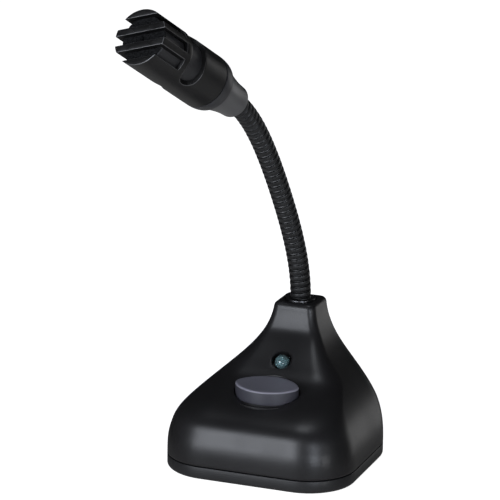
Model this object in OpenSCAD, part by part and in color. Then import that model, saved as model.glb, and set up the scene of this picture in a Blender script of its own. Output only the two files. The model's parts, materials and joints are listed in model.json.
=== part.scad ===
// Desk microphone on a short gooseneck: a bell-shaped base with a talk button and a lamp,
// a bendable wire-wound neck and a slotted cylinder head.
// Millimetres, Z up, origin in the middle of the footprint on the desk, the button side faces -Y.

/* [Base] */
// Width of the base at the desk
base_w = 64.6; // [56:0.2:80]
// Depth of the base at the desk
base_d = 59.2; // [54:0.2:74]
// Height of the flat top that the neck stands on
base_h = 50; // [46:0.5:64]
// Corner radius of the footprint
base_corner = 16.4; // [10:0.2:22]
// Width of the tower at its top
tower_w = 14.6; // [14:0.2:20]
// Depth of the tower at its top
tower_d = 14.8; // [14:0.2:20]
// Corner radius of the tower at its top
tower_corner = 2.6; // [1.5:0.1:4]
// Rounding of the tower's top edge
top_round = 1.6; // [0.5:0.1:2]
// Wall of the upper shell
wall = 1.8; // [1.4:0.1:2.4]

/* [Tray] */
// Height of the seam between tray and shell above the desk
seam_z = 4.7; // [4.2:0.1:6]
// Open height of the seam line
seam_gap = 0.4; // [0.2:0.05:0.6]
// Thickness of the rubber pad
pad_t = 0.8; // [0.6:0.1:1.5]
// How far the pad stands out of its recess
pad_proud = 0.4; // [0.3:0.1:0.6]
// Thickness of the tray floor
floor_t = 1.8; // [1.4:0.1:2.4]
// Thickness of the steel weight
weight_t = 3.6; // [2:0.1:4.2]

/* [Talk button] */
// Length of the button, side to side
button_l = 21.6; // [16:0.2:24]
// Depth of the button, front to back
button_d = 16.2; // [12:0.2:17]
// Height of the button's top face
button_z = 28.8; // [27:0.2:31]
// Place of the button's middle behind the footprint's middle
button_y = -9.4; // [-11:0.2:-8]
// Travel of the button
button_travel = 1.2; // [0.5:0.1:1.6]
// Gap all round the button
button_gap = 0.5; // [0.2:0.05:0.6]

/* [Lamp] */
// Diameter of the lamp
lamp_dia = 5; // [3:0.5:5]
// Diameter of the hole the lamp sits in
lamp_hole = 6.9; // [6:0.1:7.2]
// Place of the lamp behind the footprint's middle
lamp_y = 3.9; // [3.5:0.1:5]

/* [Inlet] */
// Diameter of the jack's bore
jack_bore = 3.6; // [3.5:0.05:3.7]
// Depth of the jack's bore
jack_depth = 14; // [12:0.5:14.5]

/* [Neck] */
// Outside diameter of the wire-wound neck
neck_dia = 7; // [6.4:0.1:7.2]
// Length of the neck along its middle
neck_l = 86.4; // [80:0.4:110]
// Lean of the head from upright at rest
head_lean = 59.5; // [50:0.5:62]
// How far the bend is turned from straight ahead
neck_heading = 16; // [0:1:25]
// Diameter of the lead inside the neck
lead_dia = 2.4; // [2:0.1:2.6]

/* [Head] */
// Diameter of the head
head_dia = 18.2; // [16:0.1:22]
// Length of the slotted barrel
barrel_l = 35.8; // [34:0.2:41]
// Length of the rounded ring behind the barrel
ring_l = 5.3; // [4:0.1:6]
// Length of the flared ferrule from the end of the neck to the ring
ferrule_l = 12.7; // [11:0.1:15]
// Length of the ferrule's skirt over the end of the neck
skirt_l = 1.4; // [0.5:0.1:2]
// Diameter of the ferrule at the neck
ferrule_dia = 11; // [10:0.1:12]
// Wall of the barrel
barrel_wall = 1.45; // [1.2:0.05:1.6]
// Width of the slots across the face
slot_w = 3.1; // [2.4:0.1:3.3]
// Distance from slot to slot
slot_pitch = 5.27; // [5:0.01:5.5]
// Length of the slots down the sides
slot_l = 13; // [8:0.5:14]
// Turn of the slots about the head's axis
head_roll = 18; // [0:1:30]

/* [Hidden] */
COILS = 10;

$fn = 48;
eps = 0.01;
thread_gap = 0.05;

// ---- outline of the base ----
// Height share above the seam, spread share from tower to base, and slope of the flanks
flank_shape = [[1, 0, -0.08], [0.714, 0.2, -1.41], [0.3, 0.9, -0.92], [0, 1, 0]];
// The same for the front, which hollows out above the button and rolls over below it
front_shape = [[1, 0, -0.05], [0.824, 0.045, -0.41], [0.623, 0.25, -1.18], [0.533, 0.367, -1.94],
               [0.427, 0.73, -3.17], [0.207, 0.98, -0.36], [0, 1, 0]];
corner_power = 1.45;
back_lean = 0.6;
shell_h = base_h - seam_z;
tower_y = base_d / 2 - back_lean - tower_d / 2;
tower_front = tower_y - tower_d / 2;
shell_z0 = seam_z + seam_gap;
rings = 22;
corner_steps = 8;

// ---- heights in the base ----
tray_z0 = pad_proud;
floor_z = tray_z0 + floor_t;
board_t = 1.6;
board_z = 9;
board_top = board_z + board_t;
pad_inset = 4;
rim_t = 1.6;
lip_t = 1.2;
lip_gap = 0.25;
lip_rise = 2.2;
pad_gap = 0.1;
weight_gap = 1;
// Rolled lower edge of the tray in three narrowing steps: [inset, height above the edge]
tray_edge = 1.2;
tray_steps = [[0.15, 0.65], [0.4, 0.3], [0.85, 0]];

// ---- screws ----
screw_r = 1.25;
screw_head_r = 2.4;
screw_head_t = 1.3;
screw_l = 10;
screw_gap = 0.25;
screw_sunk = 0.05;
post_r = 3.1;
post_x = base_w / 2 - 9.8;
post_y = base_d / 2 - 9.4;
post_z0 = floor_z + 0.1;
board_w = 34;
board_y0 = -17;
board_y1 = base_d / 2 - wall - 1.6;
pillar_r = 2.4;
pillar_x = 13.6;
pillar_front_y = -13.6;
pillar_back_y = 11;
board_screw_r = 1;
board_head_r = 1.9;
board_head_t = 1.2;
board_screw_l = 5;
board_screw_end = 0.4;
chip = [6, 5, 1.6];
chip_left = [-14, -5];
chip_right = [8, -3];
cap_x = 11;
cap_y = 4.5;
cap_r = 2;
cap_h = 5.5;
contact = [1.6, 0.8, 0.6];
contact_y = 16;
contact_x = [-12.5 : 3 : -6.5];

// ---- button and switch ----
// Radius of the button's round ends as a share of half its depth
button_end = 0.52;
button_crown = 0.35;
button_wall = 1.3;
button_roof = 1.8;
button_flange = 1.1;
flange_t = 1.2;
flange_z = 16;
stop_gap = 0.15;
guide_wall = 1.3;
guide_z0 = flange_z + flange_t + stop_gap;
stem_r = 1.8;
switch_side = 6.2;
switch_h = 3.6;
plunger_r = 1.6;
plunger_rise = 1.7;
plunger_sunk = 1.2;
plunger_gap = 0.1;
plunger_under = 0.2;
switch_top = board_top + switch_h;
plunger_top = switch_top + plunger_rise;
spring_r = 5.2;
spring_wire = 0.6;
spring_turns = 5;
spring_seat = button_z - button_roof;

// ---- lamp ----
lamp_r = lamp_dia / 2;
lamp_z = roof_z(lamp_y);
lamp_tilt = 39;
lamp_flange = 0.4;
lamp_flange_t = 1;
lamp_sunk = 4.4;
lamp_rise = 1.2;
holder_sunk = 2.2;
holder_l = 4.4;
holder_wall = 1.1;
lead_pin_r = 0.25;
lead_pin_x = 1.27;
lead_pin_gap = 0.15;
lead_pin_end = 0.8;

// ---- inlet ----
jack_y = base_d / 2;
jack_z = board_top + 3;
jack_w = 8;
jack_h = 6;
jack_bush_r = 2.9;
jack_bush_l = 4;
jack_hole_r = jack_bush_r + 0.1;
jack_body_l = 12;
jack_in = 1.4;
jack_body_y = jack_y - wall - jack_in - jack_body_l;
leaf = [0.5, 5, 4.2];
leaf_in = 2;
// Where the lead leaves the board for the neck
lead_start = [7, 7, board_top + 1.2];

// ---- neck ----
neck_r = neck_dia / 2;
neck_step = neck_l / COILS;
turns = 4;
turn_pitch = 2.1;
turn_r = 0.64;
// Distance from a pivot to the middle of the nearest turn
turn_end = (neck_step - (turns - 1) * turn_pitch) / 2;
neck_bore_r = 1.9;
lead_r = lead_dia / 2;
lead_cut = 0.3;
stud_r = 3;
stud_l = 8;
stud_rise = 0.9;
stud_gap = 0.1;
stub_turns = 2;
tip_turns = 3;
collar_r = 4.95;
collar_t = 1.1;
collar_step = 0.35;
collar_in = 0.3;
collar_recess_r = 5.4;
collar_recess = 0.7;
nut_r = 4.6;
nut_t = 2.6;
tower_roof = 2.4;
// Share of the lean reached along the neck, as a cubic: quick at both ends and slow between
bend_law = [2.2, -4, 2.8];

// ---- head ----
head_r = head_dia / 2;
head_l = ferrule_l + ring_l + barrel_l;
ring_in = 1.15;
ferrule_r = ferrule_dia / 2;
ferrule_end = head_r - ring_in - 0.05;
// Ferrule outline: [height, radius, slope]
ferrule_shape = [[-skirt_l, ferrule_r - 0.5, 1.2], [-skirt_l + 0.9, ferrule_r - 0.05, 0.07],
                 [0.25 * ferrule_l, ferrule_r + 0.25, 0.12], [ferrule_l, ferrule_end, 0.34]];
ferrule_steps = 12;
face_bevel = 0.3;
ring_z = ferrule_l;
barrel_z = ring_z + ring_l;
face_t = 2;
groove_w = 0.35;
groove_in = 0.5;
sleeve_gap = 0.05;
sleeve_r = head_r - barrel_wall - sleeve_gap;
sleeve_wall = 0.8;
spigot_r = sleeve_r - sleeve_wall - sleeve_gap;
spigot_l = ring_l + 4.2;
tip_gap = 0.05;
// How far the neck's last piece reaches into the ferrule
tip_depth = turn_end + (tip_turns - 1) * turn_pitch + turn_r - neck_step / 2;
screen_t = 0.6;
screen_z = head_l - face_t - screen_t;
sleeve_z0 = barrel_z + 1.2;
port_r = 4.05;
port_off = head_r - 1.65;
port_back = 19.5;
capsule_r = 4.85;
capsule_l = 6.7;
capsule_gap = 1.2;
capsule_z = screen_z - capsule_gap - capsule_l;
boot_l = 9;
boot_bore_r = 3.2;
dot_ring_r = 2.2;
dot_r = 0.5;
dot_mid_r = 0.6;
dot_t = 0.5;
capsule_lead_r = 0.4;
capsule_lead_x = 0.7;
capsule_lead_bow = 0.8;

// ================= outline functions =================

function knot_before(k, h, i = 0) = (i == len(k) - 2 || h >= k[i + 1][0]) ? i : knot_before(k, h, i + 1);

// Smooth curve through the knots [height, value, slope], read at height h
function curve_at(k, h) =
    let (i = knot_before(k, h), a = k[i], b = k[i + 1], d = b[0] - a[0], t = (h - a[0]) / d)
    a[1] * (2 * t * t * t - 3 * t * t + 1) + d * a[2] * (t * t * t - 2 * t * t + t)
    + b[1] * (3 * t * t - 2 * t * t * t) + d * b[2] * (t * t * t - t * t);

function height_share(z) = min(1, max(0, (z - seam_z) / shell_h));
function flank_x(z) = tower_w / 2 + (base_w - tower_w) / 2 * curve_at(flank_shape, height_share(z));
function front_y(z) = tower_front - (tower_front + base_d / 2) * curve_at(front_shape, height_share(z));
function back_y(z) = base_d / 2 - back_lean * (1 - curve_at(flank_shape, height_share(z)));
function corner_at(z) =
    tower_corner + (base_corner - tower_corner) * pow(curve_at(flank_shape, height_share(z)), corner_power);

// Height of the front slope above the desk at a given y, found by halving
function roof_z(y, lo = seam_z, hi = base_h, n = 24) =
    let (m = (lo + hi) / 2)
    n == 0 ? m : front_y(m) < y ? roof_z(y, m, hi, n - 1) : roof_z(y, lo, m, n - 1);

// Points of a rounded rectangle between x = -w..w and y = y0..y1 at height z
function ring_points(w, y0, y1, r, z, steps) =
    let (c = min(r, w - eps, (y1 - y0) / 2 - eps))
    [for (q = [0 : 3], i = [0 : steps])
        let (a = 90 * q + 90 * i / steps, sx = (q == 0 || q == 3) ? 1 : -1, sy = q < 2 ? 1 : -1)
        [sx * (w - c) + c * cos(a), (sy > 0 ? y1 - c : y0 + c) + c * sin(a), z]];

// Closed skin through a stack of rings, bottom ring first
module loft(stack) {
    n = len(stack[0]);
    m = len(stack);
    points = [for (s = stack, p = s) p];
    sides = [for (j = [0 : m - 2], i = [0 : n - 1])
        let (a = j * n + i, b = j * n + (i + 1) % n) each [[a, b + n, b], [a, a + n, b + n]]];
    bottom = [for (i = [0 : n - 1]) i];
    top = [for (i = [n - 1 : -1 : 0]) (m - 1) * n + i];
    polyhedron(points, concat([bottom], [top], sides));
}

// Rows of heights, closer together where the top edge rounds over
function outer_heights() = concat(
    [for (i = [0 : rings - 1]) shell_z0 + (base_h - top_round - shell_z0) * i / (rings - 1)],
    [for (a = [30, 60, 90]) base_h - top_round + top_round * sin(a)]);
function top_inset(z) = z <= base_h - top_round ? 0
    : top_round - sqrt(max(0, top_round * top_round - pow(z - base_h + top_round, 2)));

module shell_outside() {
    loft([for (z = outer_heights()) let (d = top_inset(z))
        ring_points(flank_x(z) - d, front_y(z) + d, back_y(z) - d, max(0.5, corner_at(z) - d / 2), z,
                    corner_steps)]);
}

module shell_inside() {
    top = base_h - tower_roof;
    low = shell_z0 - 1;
    loft([for (i = [0 : rings - 6]) let (z = low + (top - low) * i / (rings - 6), s = z + wall)
        ring_points(flank_x(s) - wall, front_y(s) + wall, back_y(s) - wall, max(1, corner_at(s) - wall),
                    z, corner_steps - 2)]);
}

// ================= small shapes =================

module tube(r_out, r_in, h) {
    difference() {
        cylinder(r = r_out, h = h);
        translate([0, 0, -eps]) cylinder(r = r_in, h = h + 2 * eps);
    }
}

module rounded_plate(w, d, r, h) {
    linear_extrude(h) square_round(w, d, r);
}

// Plate of the base's outline, drawn in by a margin
module inset_plate(inset, h) {
    rounded_plate(base_w - 2 * inset, base_d - 2 * inset, base_corner - inset, h);
}

module square_round(w, d, r) {
    square([w - 2 * r, d], center = true);
    square([w, d - 2 * r], center = true);
    for (x = [-1, 1], y = [-1, 1]) translate([x * (w / 2 - r), y * (d / 2 - r)]) circle(r);
}

// Oval of two side arcs and two round ends, all tangent, grown by a margin
module oval(grow = 0) {
    a = button_l / 2;
    b = button_d / 2;
    r = b * button_end;
    // the side arc's radius, from its tangency with the end circle
    big = ((a - r) * (a - r) + b * b - r * r) / (2 * (b - r));
    intersection() {
        translate([0, b - big]) circle(big + grow, $fn = 96);
        translate([0, big - b]) circle(big + grow, $fn = 96);
        square([2 * (a + grow), 4 * b], center = true);
        union() {
            // where the arcs and the end circles touch
            touch_x = (a - r) * big / (big - r);
            square([2 * touch_x, 4 * b], center = true);
            for (x = [-1, 1]) translate([x * (a - r), 0]) circle(r + grow);
        }
    }
}

module at_button(z = 0) {
    translate([0, button_y, z]) children();
}

module at_posts() {
    for (x = [-1, 1], y = [-1, 1]) translate([x * post_x, y * post_y, 0]) children();
}

module at_pillars() {
    for (x = [-1, 1], y = [pillar_front_y, pillar_back_y]) translate([x * pillar_x, y, 0]) children();
}

module at_lamp() {
    translate([0, lamp_y, lamp_z]) rotate([lamp_tilt, 0, 0]) children();
}

module at_inlet() {
    translate([0, jack_y, jack_z]) rotate([90, 0, 0]) children();
}

// A pan-head screw, its head's underside at z = 0 and its shank going up
module screw(r, l, head_r, head_t) {
    translate([0, 0, -head_t]) cylinder(r = head_r, h = head_t);
    difference() {
        translate([0, 0, -eps]) cylinder(r = r, h = l + eps);
        translate([0, 0, l - r]) difference() {
            cylinder(r = 2 * r, h = 2 * r);
            translate([0, 0, -eps]) cylinder(r1 = r, r2 = 0, h = r);
        }
    }
}

// Ring of rectangles swept round a path of points, for round wires
function unit(v) = v / norm(v);
function tangent(p, i) = unit(p[min(i + 1, len(p) - 1)] - p[max(i - 1, 0)]);
module wire(path, r, sides = 8) {
    up = [0.13, 0.37, 0.91];
    loops = [for (i = [0 : len(path) - 1])
        let (t = tangent(path, i), side = abs(t * unit(up)) > 0.95 ? [1, 0, 0] : up,
             u = unit(cross(t, side)), v = cross(t, u))
        [for (k = [0 : sides - 1]) path[i] + r * (cos(360 * k / sides) * u + sin(360 * k / sides) * v)]];
    loft(loops);
}

// ================= neck placement =================

function lean_share(u) = bend_law[0] * u + bend_law[1] * u * u + bend_law[2] * u * u * u;
function lean_of(k) = head_lean * lean_share(k / COILS);
function dir_of(lean) = [-sin(lean) * sin(neck_heading), -sin(lean) * cos(neck_heading), cos(lean)];
// Pivot k, where piece k turns on piece k - 1
function pivot(k) = k <= 1 ? [0, tower_y, base_h + neck_step / 2]
    : pivot(k - 1) + neck_step * dir_of(lean_of(k - 1));
neck_end = pivot(COILS) + neck_step / 2 * dir_of(head_lean);

module at_neck(k) {
    translate(pivot(k)) rotate([0, 0, -neck_heading]) rotate([lean_of(k), 0, 0]) children();
}

module at_head() {
    translate(neck_end) rotate([0, 0, -neck_heading]) rotate([head_lean, 0, 0]) rotate([0, 0, head_roll])
        children();
}

// Turns of the neck winding on their liner tube, the first turn's middle at z = 0
module winding(count) {
    ring_r = neck_r - turn_r;
    rotate_extrude() translate([neck_bore_r, -turn_r / 2])
        square([ring_r - neck_bore_r, (count - 1) * turn_pitch + turn_r]);
    for (i = [0 : count - 1]) translate([0, 0, i * turn_pitch])
        rotate_extrude() translate([ring_r, 0]) circle(turn_r, $fn = 24);
}

// ================= base parts =================

module foot_pad() {
    color("#1c1c1e") inset_plate(pad_inset, pad_t);
}

module bottom_tray() {
    color("#4a4a4e") difference() {
        union() {
            difference() {
                union() {
                    translate([0, 0, tray_z0 + tray_edge])
                        rounded_plate(base_w, base_d, base_corner, seam_z - tray_z0 - tray_edge);
                    for (s = tray_steps) translate([0, 0, tray_z0 + s[1]])
                        rounded_plate(base_w - 2 * s[0], base_d - 2 * s[0], base_corner - s[0], tray_edge);
                }
                translate([0, 0, floor_z]) inset_plate(rim_t, seam_z);
                translate([0, 0, -eps]) inset_plate(pad_inset - pad_gap, pad_t + eps);
            }
            // lip that locates the shell
            translate([0, 0, floor_z]) difference() {
                inset_plate(wall + lip_gap, seam_z + lip_rise - floor_z);
                translate([0, 0, -eps]) inset_plate(wall + lip_gap + lip_t, seam_z + lip_rise);
            }
            at_pillars() translate([0, 0, floor_z - eps])
                cylinder(r = pillar_r, h = board_z - floor_z + eps);
        }
        at_posts() {
            cylinder(r = screw_r + screw_gap, h = 2 * floor_z);
            translate([0, 0, -eps]) cylinder(r = screw_head_r + screw_gap, h = pad_t + screw_head_t + eps);
        }
        at_pillars() translate([0, 0, board_top - board_screw_l - board_screw_end])
            cylinder(r = board_screw_r + thread_gap, h = 2 * board_screw_l);
    }
}

module bottom_screws() {
    color("#a9abae") at_posts() translate([0, 0, pad_t + screw_head_t])
        screw(screw_r, screw_l, screw_head_r, screw_head_t - screw_sunk);
}

module ballast_weight() {
    color("#7d8084") translate([0, 0, floor_z]) difference() {
        inset_plate(wall + lip_gap + lip_t + weight_gap, weight_t);
        translate([0, 0, -1]) {
            at_posts() cylinder(r = post_r + weight_gap / 2, h = weight_t + 2);
            at_pillars() cylinder(r = pillar_r + weight_gap / 2, h = weight_t + 2);
        }
    }
}

module base_shell() {
    color("#3a3a3d") difference() {
        union() {
            difference() {
                shell_outside();
                shell_inside();
            }
            intersection() {
                shell_outside();
                union() {
                    at_posts() translate([0, 0, post_z0]) cylinder(r = post_r, h = base_h);
                    at_button(guide_z0) linear_extrude(base_h) oval(button_gap + guide_wall);
                    at_lamp() translate([0, 0, -holder_sunk - holder_l])
                        cylinder(r = lamp_hole / 2 + holder_wall, h = base_h);
                }
            }
            at_posts() translate([0, 0, post_z0]) cylinder(r = post_r, h = shell_z0 + 1 - post_z0);
        }
        at_posts() translate([0, 0, post_z0 - eps]) cylinder(r = screw_r + thread_gap, h = screw_l);
        at_button(-eps) linear_extrude(2 * base_h) oval(button_gap);
        at_lamp() translate([0, 0, -base_h / 2]) cylinder(r = lamp_hole / 2, h = base_h);
        at_inlet() cylinder(r = jack_hole_r, h = 3 * wall, center = true);
        translate([0, tower_y, base_h - 2 * tower_roof])
            cylinder(r = stud_r + stud_gap, h = 3 * tower_roof);
        translate([0, tower_y, base_h - collar_recess])
            cylinder(r = collar_recess_r, h = 2 * collar_recess);
    }
}

// ================= button, switch, board =================

module talk_button() {
    color("#5a5b66") difference() {
        union() {
            at_button(flange_z) linear_extrude(button_z - button_crown - flange_z) oval();
            at_button(button_z - button_crown - eps) linear_extrude(button_crown + eps) oval(-button_crown);
            at_button(flange_z) linear_extrude(flange_t) oval(button_flange);
        }
        difference() {
            at_button(flange_z - eps) linear_extrude(button_z - button_roof - flange_z + eps)
                oval(-button_wall);
            at_button(0) cylinder(r = stem_r, h = base_h);
        }
    }
    color("#5a5b66") at_button(plunger_top) cylinder(r = stem_r, h = flange_z - plunger_top + flange_t);
}

module button_spring() {
    steps = 14;
    low = board_top + spring_wire / 2;
    rise = spring_seat - spring_wire / 2 - low;
    count = spring_turns * steps;
    color("#b8bbc0") at_button() wire([for (i = [0 : count]) let (a = 360 * i / steps)
        [spring_r * cos(a), spring_r * sin(a), low + rise * i / count]], spring_wire / 2, 6);
}

module switch_body() {
    color("#26262a") at_button(board_top) difference() {
        translate([-switch_side / 2, -switch_side / 2, 0]) cube([switch_side, switch_side, switch_h]);
        translate([0, 0, switch_h - plunger_sunk - button_travel - plunger_under])
            cylinder(r = plunger_r + plunger_gap, h = switch_h);
    }
}

module switch_plunger() {
    color("#c9c2ae") at_button(switch_top - plunger_sunk)
        cylinder(r = plunger_r, h = plunger_top - switch_top + plunger_sunk);
}

module circuit_board() {
    color("#2f5d46") translate([0, 0, board_z]) difference() {
        translate([-board_w / 2, board_y0, 0]) cube([board_w, board_y1 - board_y0, board_t]);
        at_pillars() translate([0, 0, -1]) cylinder(r = board_screw_r + screw_gap, h = board_t + 2);
        for (x = [-1, 1]) translate([x * lead_pin_x, lamp_base()[1], -1])
            cylinder(r = lead_pin_r + lead_pin_gap, h = board_t + 2);
    }
}

module board_screws() {
    color("#a9abae") at_pillars() translate([0, 0, board_top]) rotate([180, 0, 0])
        screw(board_screw_r, board_screw_l, board_head_r, board_head_t);
}

module board_parts() {
    color("#202024") for (p = [chip_left, chip_right]) translate([p[0], p[1], board_top]) cube(chip);
    color("#31405e") for (x = [-cap_x, cap_x]) translate([x, cap_y, board_top])
        cylinder(r = cap_r, h = cap_h);
    color("#b08d57") for (x = contact_x) translate([x, contact_y, board_top]) cube(contact);
}

// ================= lamp =================

// Middle of the lamp's base, where its wires leave
lamp_depth = lamp_sunk + lamp_flange_t;
function lamp_base() = [0, lamp_y + sin(lamp_tilt) * lamp_depth, lamp_z - cos(lamp_tilt) * lamp_depth];

module led_lamp() {
    color("#9fd0cd") at_lamp() {
        translate([0, 0, -lamp_sunk]) cylinder(r = lamp_r, h = lamp_sunk + lamp_rise - lamp_r);
        translate([0, 0, lamp_rise - lamp_r]) intersection() {
            sphere(r = lamp_r);
            cylinder(r = lamp_r, h = lamp_r);
        }
        translate([0, 0, -lamp_depth]) cylinder(r = lamp_r + lamp_flange, h = lamp_flange_t + eps);
    }
}

module led_holder() {
    color("#151517") at_lamp() translate([0, 0, -holder_sunk - holder_l]) difference() {
        tube(lamp_hole / 2 - thread_gap, lamp_r + thread_gap, holder_l);
        translate([0, 0, -eps]) cylinder(r = lamp_r + lamp_flange + thread_gap,
                                         h = holder_l + holder_sunk - lamp_sunk + eps + thread_gap);
    }
}

module led_leads() {
    base = lamp_base();
    out = [0, sin(lamp_tilt), -cos(lamp_tilt)];
    color("#c8ccd0") for (x = [-1, 1])
        wire([for (t = [0, 0.3, 0.6, 1]) [x * lead_pin_x, base[1] + 3 * t * (1 - t) * out[1],
              base[2] + (board_z - lead_pin_end - base[2]) * t]], lead_pin_r, 6);
}

// ================= inlet =================

module jack_socket() {
    color("#2b2b2e") difference() {
        union() {
            at_inlet() translate([0, 0, eps]) cylinder(r = jack_bush_r, h = jack_bush_l);
            translate([-jack_w / 2, jack_body_y, board_top]) cube([jack_w, jack_body_l, jack_h]);
        }
        at_inlet() translate([0, 0, -1]) cylinder(r = jack_bore / 2, h = jack_depth + 1);
    }
}

module jack_spring() {
    color("#c9b06a") translate([-jack_w / 2 - leaf[0], jack_body_y + leaf_in, board_top]) cube(leaf);
}

module tower_lead() {
    top = [0, tower_y, base_h - stud_l - lead_cut];
    steps = 14;
    color("#222225") wire([for (i = [0 : steps]) let (t = i / steps, s = t * t * (3 - 2 * t))
        [lead_start[0] + (top[0] - lead_start[0]) * s, lead_start[1] + (top[1] - lead_start[1]) * s,
         lead_start[2] + (top[2] - lead_start[2]) * t]], lead_r, 8);
}

// ================= neck =================

module neck_stud() {
    color("#2a2a2c") translate([0, tower_y, base_h]) {
        translate([0, 0, -stud_l]) tube(stud_r, neck_bore_r, stud_l + stud_rise);
        translate([0, 0, neck_step / 2 - turn_end - (stub_turns - 1) * turn_pitch]) winding(stub_turns);
    }
}

module neck_collar() {
    color("#6c6d70") translate([0, tower_y, base_h - collar_recess]) {
        tube(collar_r, stud_r + thread_gap, collar_t - collar_step);
        translate([0, 0, collar_t - collar_step - eps])
            tube(collar_r - collar_in, stud_r + thread_gap, collar_step + eps);
    }
}

module neck_nut() {
    color("#9c9ea2") translate([0, tower_y, base_h - tower_roof - nut_t]) difference() {
        cylinder(r = nut_r, h = nut_t, $fn = 6);
        translate([0, 0, -1]) cylinder(r = stud_r + thread_gap, h = nut_t + 2);
    }
}

module neck_coil(k) {
    color("#303032") at_neck(k) translate([0, 0, turn_end]) winding(k < COILS ? turns : tip_turns);
}

// The lead's stretch inside neck piece k, the stretch in the stud being number 0
module neck_lead(k) {
    run = k < COILS ? neck_step - 2 * lead_cut : neck_step / 2 + ferrule_l + spigot_l - lead_cut;
    color("#222225") {
        if (k == 0) translate([0, tower_y, base_h - stud_l])
            cylinder(r = lead_r, h = stud_l + neck_step / 2 - lead_cut);
        if (k > 0) at_neck(k) translate([0, 0, lead_cut]) cylinder(r = lead_r, h = run);
    }
}

// ================= head =================

module head_ferrule() {
    outline = [for (i = [0 : ferrule_steps]) let (z = (ferrule_l + skirt_l) * i / ferrule_steps - skirt_l)
        [curve_up(ferrule_shape, z), z]];
    spigot = [[spigot_r, ferrule_l], [spigot_r, ferrule_l + spigot_l], [0, ferrule_l + spigot_l]];
    color("#58585b") at_head() difference() {
        rotate_extrude() polygon(concat([[0, -skirt_l]], outline, spigot));
        translate([0, 0, -skirt_l - eps]) cylinder(r = neck_r + tip_gap, h = skirt_l + tip_depth + tip_gap);
        cylinder(r = lead_r + thread_gap, h = head_l);
    }
}

// Smooth curve through knots that climb
function curve_up(k, h) = curve_at([for (i = [len(k) - 1 : -1 : 0]) k[i]], h);

module head_ring() {
    arc = [for (a = [0 : 15 : 90])
        [head_r - ring_in + ring_in * sin(a), barrel_z - groove_w - (ring_l - groove_w) * cos(a)]];
    color("#2c2c2e") at_head() rotate_extrude() polygon(concat(
        [[spigot_r + sleeve_gap, ring_z]], arc,
        [[head_r - groove_in, barrel_z - groove_w], [head_r - groove_in, barrel_z],
         [spigot_r + sleeve_gap, barrel_z]]));
}

module head_barrel() {
    outer = [[head_r - groove_in, barrel_z], [head_r, barrel_z], [head_r, head_l - face_bevel],
             [head_r - face_bevel, head_l], [0, head_l]];
    inner = [[0, head_l - face_t], [head_r - barrel_wall, head_l - face_t],
             [head_r - barrel_wall, barrel_z]];
    color("#2c2c2e") at_head() difference() {
        rotate_extrude() polygon(concat(outer, inner));
        for (i = [-1 : 1]) translate([-head_r - 1, i * slot_pitch - slot_w / 2, head_l - slot_l])
            cube([2 * head_r + 2, slot_w, slot_l + 1]);
        for (s = [-1, 1]) translate([s * port_off, 0, head_l - port_back]) rotate([90, 0, 0])
            cylinder(r = port_r, h = 3 * head_r, center = true);
    }
}

module face_screen() {
    color("#1a1a1c") at_head() translate([0, 0, screen_z]) cylinder(r = sleeve_r, h = screen_t);
}

module capsule_sleeve() {
    color("#3b3b3f") at_head() translate([0, 0, sleeve_z0])
        tube(sleeve_r, sleeve_r - sleeve_wall, screen_z - sleeve_z0);
}

module capsule_boot() {
    color("#111113") at_head() translate([0, 0, capsule_z - boot_l + capsule_l]) difference() {
        cylinder(r = sleeve_r - sleeve_wall - sleeve_gap, h = boot_l);
        translate([0, 0, boot_l - capsule_l]) cylinder(r = capsule_r + sleeve_gap, h = capsule_l + 1);
        translate([0, 0, -1]) cylinder(r = boot_bore_r, h = boot_l);
    }
}

module mic_capsule() {
    color("#b9bcc0") at_head() translate([0, 0, capsule_z]) difference() {
        cylinder(r = capsule_r, h = capsule_l);
        for (a = [0 : 60 : 300]) rotate([0, 0, a]) translate([dot_ring_r, 0, capsule_l - dot_t])
            cylinder(r = dot_r, h = 1, $fn = 16);
        translate([0, 0, capsule_l - dot_t]) cylinder(r = dot_mid_r, h = 1, $fn = 16);
    }
}

module capsule_leads() {
    z0 = ferrule_l + spigot_l + pad_gap;
    steps = 8;
    color("#7d2a2a") at_head() for (x = [-1, 1])
        wire([for (i = [0 : steps]) let (t = i / steps)
            [x * (capsule_lead_x + capsule_lead_bow * sin(180 * t)), 0, z0 + (capsule_z - z0) * t]],
            capsule_lead_r, 6);
}

// ================= assembly =================

foot_pad();
bottom_tray();
bottom_screws();
ballast_weight();
base_shell();
talk_button();
button_spring();
switch_body();
switch_plunger();
circuit_board();
board_screws();
board_parts();
led_lamp();
led_holder();
led_leads();
jack_socket();
jack_spring();
tower_lead();
neck_stud();
neck_collar();
neck_nut();
neck_lead(0);  // neck_lead_0
for (k = [1 : COILS]) neck_coil(k);
for (k = [1 : COILS]) neck_lead(k);
head_ferrule();
head_ring();
head_barrel();
face_screen();
capsule_sleeve();
capsule_boot();
mic_capsule();
capsule_leads();
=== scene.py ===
import json
import math
import random
import bmesh
import bpy
from mathutils import Matrix, Vector, noise


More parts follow.
